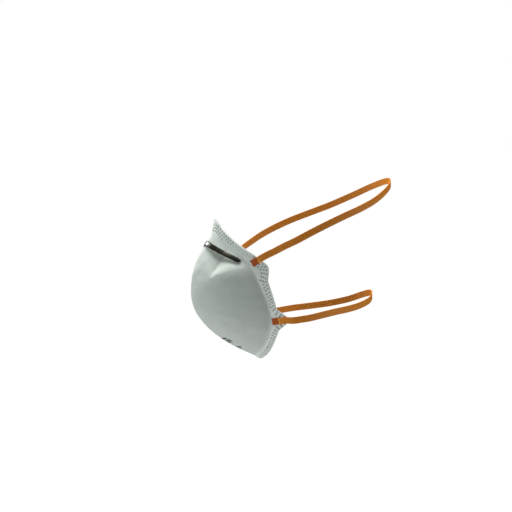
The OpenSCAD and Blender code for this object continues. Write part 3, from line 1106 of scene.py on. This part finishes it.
def foam_finish():
    """Open grey foam with pores."""
    made, tree, shader = begin("foam", 0.95)
    walls = []
    for scale, inside, outside in ((PORE_SCALE, 0.1, 0.6), (LARGE_PORE_SCALE, 0.12, 0.4)):
        pores = add_node(
            tree, "ShaderNodeTexVoronoi", Vector=in_space(tree), Scale=scale, Randomness=1.0
        )
        walls.append(ranged(tree, pores.outputs["Distance"], inside, outside))
    open_cell = arithmetic(tree, "MULTIPLY", *walls)
    # painted shade: the pores are painted darker inside than their walls
    colour = mix_colours(tree, open_cell, (0.34, 0.35, 0.36, 1), (0.52, 0.54, 0.55, 1))
    tree.links.new(colour, shader.inputs["Base Color"])
    raise_surface(tree, shader, open_cell, 0.12)
    return made


def melt_finish():
    """Clouded hot melt."""
    made, tree, shader = begin("hot_melt", 0.35)
    cloud = add_node(
        tree, "ShaderNodeTexNoise", Vector=in_space(tree), Scale=400.0, Detail=3.0
    )
    clouded = ranged(tree, cloud.outputs["Fac"], 0.35, 0.65)
    colour = mix_colours(tree, clouded, (0.78, 0.74, 0.62, 1), (0.88, 0.85, 0.76, 1))
    tree.links.new(colour, shader.inputs["Base Color"])
    return made


clip_metal = lacquer_finish()
foam_grey = foam_finish()
hot_melt = melt_finish()
print("finishes:", [made.name for made in (clip_metal, foam_grey, hot_melt)])

# %% The four strips
clip = nose_strip(
    "clip", clip_row, reach=CLIP_REACH, half=CLIP_W / 2, low=CLIP_LIFT, thick=CLIP_T,
    corner=0.22, crown=0.16, material=clip_metal,
)
clip_glue = nose_strip(
    "clip_glue", clip_row, reach=CLIP_REACH - 0.01, half=CLIP_W / 2 - 0.5, low=0.05,
    thick=CLIP_LIFT, corner=0.12, crown=0, material=hot_melt,
)
foam = nose_strip(
    "foam_strip", foam_row, reach=FOAM_REACH, half=FOAM_W / 2, low=-FOAM_DEPTH - FOAM_T,
    thick=FOAM_T, corner=0.9, crown=0, material=foam_grey,
)
foam_glue = nose_strip(
    "foam_glue", foam_row, reach=FOAM_REACH - 0.02, half=FOAM_W / 2 - 1.2,
    low=GLUE_ROOM - FOAM_DEPTH, thick=GLUE_T, corner=0.05, crown=0, material=hot_melt,
)
for strip, node, name in (
    (clip, "nose_clip", "clip_metal"),
    (clip_glue, "nose_clip_adhesive", "hot_melt"),
    (foam, "nose_foam", "foam"),
    (foam_glue, "nose_foam_adhesive", "hot_melt"),
):
    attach(strip, "mask")
    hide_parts(node)
    tell(strip)

# %% [markdown]
# ## The headbands
# A headband is flat knitted elastic, 7 mm wide, with rubber threads that make ribs along it.
# It stands on edge round the head, and its ends lie flat on the flange, where they are fused
# on. It is a loft of ribbed sections along the frame's own route, so the ribs are real. The
# fused ends are pieces of their own: melted flat, darker, and printed by the weld tool.

# %% Where the bands run
BAND_W = 7
BAND_T = 1.0
BAND_LIFT = 0.35
UPPER_WELD = [(0.298, -0.28), (0.305, -0.84)]
LOWER_WELD = [(0.666, -0.05), (0.661, -0.5), (0.655, -0.95)]
UPPER_ROUTE = [(53.2, 4.5, 33.8), (58, 12, 38), (64, 20, 43), (70.5, 30, 48.5), (76, 45, 57),
    (78, 62, 65.5), (76.5, 80, 73.5), (71, 100, 81.5), (60, 120, 90), (44, 139, 100),
    (24, 154.5, 109.5), (0, 161, 114)]
LOWER_ROUTE = [(65.5, 28.5, -31.5), (67.5, 37.5, -30.3), (67, 47, -29), (65, 60, -26.5),
    (60, 77, -23.5), (52, 95, -21), (41, 112, -18), (28, 128, -13.5), (14, 137.5, -8.5),
    (0, 141, -6)]


# Steps along the route in which a band stands up on edge, and leaves the flange's own curve
STANDS_UP_IN = 2
LEAVES_IN = 0.7
AROUND_STEP = 0.05


class BandPath:
    """The middle line of a band from its fused end to the back of the head, and its directions."""

    def __init__(self, weld, route):
        """The fused end lies on the form, at stations and rows, and the route follows it."""
        self.weld = np.array(weld)
        seats = form(self.weld[:, 0], self.weld[:, 1])
        self.seat_out = outward(self.weld[:, 0], self.weld[:, 1])
        seats = seats + self.seat_out * (BAND_LIFT + BAND_T / 2)
        self.line = np.vstack([seats, np.array(route, float)])
        self.hinge = len(weld)
        self.last = len(self.line) - 1
        steps = np.linspace(0, self.last, 60 * self.last + 1)
        points = np.array([self.at(v) for v in steps])
        self.steps = steps
        self.run = np.concatenate([[0], np.cumsum(np.linalg.norm(np.diff(points, axis=0), axis=1))])

    def at(self, v):
        """The point at a step v along the line's own points."""
        i = min(int(v), self.last - 1)
        line = self.line
        before = 2 * line[0] - line[1] if i == 0 else line[i - 1]
        after = flip(line[self.last - 1]) if i + 2 > self.last else line[i + 2]
        return through(before, line[i], line[i + 1], after, v - i)

    def frame(self, v):
        """Point, outward direction and width direction at a step v."""
        h = AROUND_STEP
        near_back = v > self.last - h
        along = unit(self.at(min(self.last, v + h)) - self.at(max(0, v - h)))
        level = np.array([0, 1.0, 0]) if near_back else unit(np.array([along[1], -along[0], 0]))
        turn = soft((v - self.hinge + 1) / STANDS_UP_IN)
        out = unit(self.seat_out[1] * (1 - turn) + level * turn)
        side = unit(np.cross([-1, 0, 0] if near_back else along, out))
        return self.at(v), out, side

    def ring(self, v, section, sunk=0.0):
        """A section in place. On the flange it follows the flange's own curve."""
        p, out, side = self.frame(v)
        free = p + section[:, :1] * side + (section[:, 1:] - sunk) * out
        lies = float(1 - soft((v - self.hinge + 1) / LEAVES_IN))
        if lies == 0:
            return free
        seat = min(v, self.hinge - 1)
        spread = np.arange(self.hinge)
        s = np.interp(seat, spread, self.weld[:, 0])
        r = np.interp(seat, spread, self.weld[:, 1])
        ds, dr = STATION_STEP / 2, 5 * STATION_STEP
        slope = np.stack([(form(s + ds, r) - form(s - ds, r)) / (2 * ds),
            (form(s, r + dr) - form(s, r - dr)) / (2 * dr)], -1)
        step = np.linalg.lstsq(slope, side, rcond=None)[0]
        where = section[:, :1] * step
        own = form(s + where[:, 0], r + where[:, 1]) - form(s, r)
        bent = outward(s + where[:, 0], r + where[:, 1])
        lying = p + own + (section[:, 1:] - sunk) * bent
        return free * (1 - lies) + lying * lies


upper_path = BandPath(UPPER_WELD, UPPER_ROUTE)
lower_path = BandPath(LOWER_WELD, LOWER_ROUTE)
print("bands:", [round(2 * path.run[-1]) for path in (upper_path, lower_path)], "mm end to end")

# %% Sections of the band and of its fused end
RIBS = 8
RIB_DEPTH = 0.03
EDGE_CORNER = 0.38
# The fused end, how much of its thickness the elastic keeps there, and the ridge beside it
PATCH_LENGTH = 7.4
PATCH_SINK = 0.32
FUSED_SHARE = 0.72
RIDGE_AT = 0.55
RIDGE_SPREAD = 0.5
RIDGE_HEIGHT = 0.34
SETTLES_BY = 6


def band_section(thick, width=BAND_W, rib=RIB_DEPTH, corner=EDGE_CORNER):
    """A flat section with ribs along both faces and rolled edges, about its own middle."""
    half = width / 2
    inner = half - corner
    x = np.linspace(-inner, inner, 4 * RIBS + 1)
    ribs = rib * np.cos(2 * math.pi * RIBS * (x + inner) / (2 * inner))
    top = np.stack([x, thick / 2 - rib + ribs], -1)
    angles = np.linspace(math.pi / 2, -math.pi / 2, 7)[1:-1]
    round_x = inner + corner * np.cos(angles)
    edge = np.stack([round_x, thick / 2 * np.sin(angles)], -1)
    return np.vstack([top, edge, top[::-1] * [1, -1], edge[::-1] * [-1, 1]])


def lengths_along(path, start, spacing):
    """Places along a half band, in millimetres, closer together where it leaves its weld."""
    near = np.linspace(start, start + 3, 12)
    rest = np.arange(start + 3 + spacing, path.run[-1] - spacing / 2, spacing)
    return np.concatenate([near, rest, [path.run[-1]]])


def flat_of(section, length):
    """The flat map of one ring: along the band, and round its section."""
    around = np.concatenate([[0], np.cumsum(np.linalg.norm(np.diff(section, axis=0), axis=1))])
    return np.stack([np.full(len(section), length), around], -1)


def make_band(name, path, material):
    """The band from weld to weld: one half along its route and the other as its mirror.

    Beside the weld the elastic is thin, with a low ridge of melt pushed out of the weld.
    """
    near = []
    for length in lengths_along(path, PATCH_LENGTH, 1.6):
        v = np.interp(length, path.run, path.steps)
        fresh = length - PATCH_LENGTH
        ridge = math.exp(-((fresh - RIDGE_AT) / RIDGE_SPREAD) ** 2)
        swell = RIDGE_HEIGHT * ridge
        settled = float(soft(fresh / SETTLES_BY))
        thick = BAND_T * (FUSED_SHARE + (1 - FUSED_SHARE) * settled) + swell
        sunk = PATCH_SINK * (1 - settled)
        section = band_section(thick, BAND_W + 0.2 * swell)
        near.append((path.ring(v, section, sunk), flat_of(section, length), ridge))
    rings, flats, ridges = (list(part) for part in zip(*near))
    total = 2 * path.run[-1]
    far_rings = [flip(ring) for ring in rings[-2::-1]]
    far_flats = [flat * [-1, 1] + [total, 0] for flat in flats[-2::-1]]
    marks = [np.full(len(rings[0]), ridge) for ridge in ridges + ridges[-2::-1]]
    return skin(name, rings + far_rings, flats + far_flats, {"ridge": marks}, material)


# %% [markdown]
# The elastic's colour comes from orange yarn over pale rubber, and it is crossed by fine
# stitches. It is painted darker in the grooves between ribs, as painted shade, and lighter on
# the ribs' backs and the stitches, as a painted highlight. In the fused end the yarn has
# melted, so it is darker and smoother, and the ridge beside it is paler. The ribs and the
# ridge are in the mesh, and the stitches, finer than its faces, are bump and colour.

# %% Elastic and its fused end
STITCH_PITCH = 0.85
RIB_PITCH = (BAND_W - 2 * EDGE_CORNER) / RIBS


def elastic_finish():
    """Orange ribbed elastic."""
    made, tree, shader = begin("elastic", 0.62)
    shader.inputs["Specular IOR Level"].default_value = 0.3
    lengthwise, crosswise = flat_parts(tree)
    turns = arithmetic(tree, "MULTIPLY", lengthwise, 2 * math.pi / STITCH_PITCH)
    stitch = arithmetic(tree, "SINE", turns)
    waves = arithmetic(tree, "MULTIPLY", crosswise, 2 * math.pi / RIB_PITCH)
    rib = arithmetic(tree, "COSINE", waves)
    knit = arithmetic(tree, "MULTIPLY", stitch, ranged(tree, rib, -1.0, 1.0, 0.3, 1.0))
    patchy = ranged(tree, flat_noise(tree, 1.0, 4.0, 0, (0.5, 5, 1)), 0.3, 0.7)
    colour = mix_colours(tree, patchy, (0.76, 0.235, 0.018, 1), (0.90, 0.30, 0.024, 1))
    # painted shade: darker in the grooves between ribs
    painted_groove_shade = arithmetic(tree, "MULTIPLY", ranged(tree, rib, -1.0, 0.4, 1.0, 0.0), 0.6)
    colour = mix_colours(tree, painted_groove_shade, colour, (0.46, 0.125, 0.012, 1))
    # painted highlight: lighter on the ribs' backs and the stitches
    lit = arithmetic(tree, "MULTIPLY", ranged(tree, knit, 0.1, 0.9), 0.08)
    colour = mix_colours(tree, lit, colour, (0.95, 0.45, 0.09, 1))
    colour = mix_colours(tree, carried(tree, "ridge"), colour, (1.0, 0.50, 0.10, 1))
    tree.links.new(colour, shader.inputs["Base Color"])
    height = arithmetic(tree, "ADD", knit, arithmetic(tree, "MULTIPLY", patchy, 0.5))
    raise_surface(tree, shader, height, 0.012)
    return made


def fused_finish():
    """Elastic melted by the weld tool."""
    made, tree, shader = begin("elastic_weld", 0.42)
    shader.inputs["Specular IOR Level"].default_value = 0.3
    smear = flat_noise(tree, 1.0, 5.0, 15, (0.8, 2.5, 1))
    blotch = ranged(tree, smear, 0.32, 0.68)
    colour = mix_colours(tree, blotch, (0.42, 0.070, 0.006, 1), (0.60, 0.120, 0.010, 1))
    tree.links.new(colour, shader.inputs["Base Color"])
    rough = ranged(tree, smear, 0.3, 0.7, 0.32, 0.55)
    tree.links.new(rough, shader.inputs["Roughness"])
    raise_surface(tree, shader, blotch, 0.04)
    return made


elastic = elastic_finish()
elastic_weld = fused_finish()
print("ribs", round(RIB_PITCH, 2), "mm apart, stitches", STITCH_PITCH, "mm apart")


# %% The fused ends, printed with the bars of the weld tool
PATCH_RINGS = 34
PATCH_ROUND = 0.8
PATCH_EXTRA = 0.15
TOOL_FROM = 1.3
TOOL_PITCH = 1.15
TOOL_STARTS = (-2.6, 0.35)
TOOL_LONG = 2.25
PATCH_TOP = 0.36


def make_patch(name, path, side, material):
    """One fused end: a flat tablet that follows the flange, with the tool's bars pressed in."""
    rings = []
    flats = []
    presses = []
    for length in np.linspace(0, PATCH_LENGTH, PATCH_RINGS):
        v = np.interp(length, path.run, path.steps)
        end = math.sqrt(max(1 - (1 - min(length / PATCH_ROUND, 1)) ** 2, 0.06))
        width = BAND_W * (0.93 + 0.07 * end) + PATCH_EXTRA
        section = band_section(FUSED_SHARE * BAND_T * end, width, rib=0.02, corner=0.3)
        ring = path.ring(v, section, PATCH_SINK)
        _, out, _ = path.frame(v)
        press = -out * section[:, 1:] * MM
        if side < 0:
            ring, press = flip(ring), flip(press)
        rings.append(ring)
        presses.append(press)
        flats.append(flat_of(section, length))
    piece = skin(name, rings, flats, {"press": presses}, material)
    lines = []
    for length in np.arange(TOOL_FROM, PATCH_LENGTH - 0.7, TOOL_PITCH):
        v = np.interp(length, path.run, path.steps)
        for start in TOOL_STARTS:
            ends = np.array([(start, PATCH_TOP), (start + TOOL_LONG, PATCH_TOP)])
            line = path.ring(v, ends, PATCH_SINK)
            lines.append(flip(line) if side < 0 else line)
    press_welds(
        piece, lines, Spot_radius=0.16 * MM, Spot_slope=0.25 * MM, Squeeze=0.55, Swell=0.0,
        Swell_reach=1 * MM, Mark=1.0,
    )
    return piece


for place, path in (("upper", upper_path), ("lower", lower_path)):
    for hand, side in (("left", 1), ("right", -1)):
        patch = make_patch(f"{place}_patch_{hand}", path, side, elastic_weld)
        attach(patch, "mask")
        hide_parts(f"{place}_band_weld_{hand}")
        tell(patch)

# %% [markdown]
# Real elastic bends at the line through a band's two fused ends, and does not slide, so the
# band follows the mask before that line and its own route after it, and turns smoothly over
# the short stretch between.


for place, path, route in (
    ("upper", upper_path, UPPER_ROUTE),
    ("lower", lower_path, LOWER_ROUTE),
):
    band = make_band(f"{place}_band", path, elastic)
    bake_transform(band)
    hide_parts(f"{place}_headband")
    tell(band)
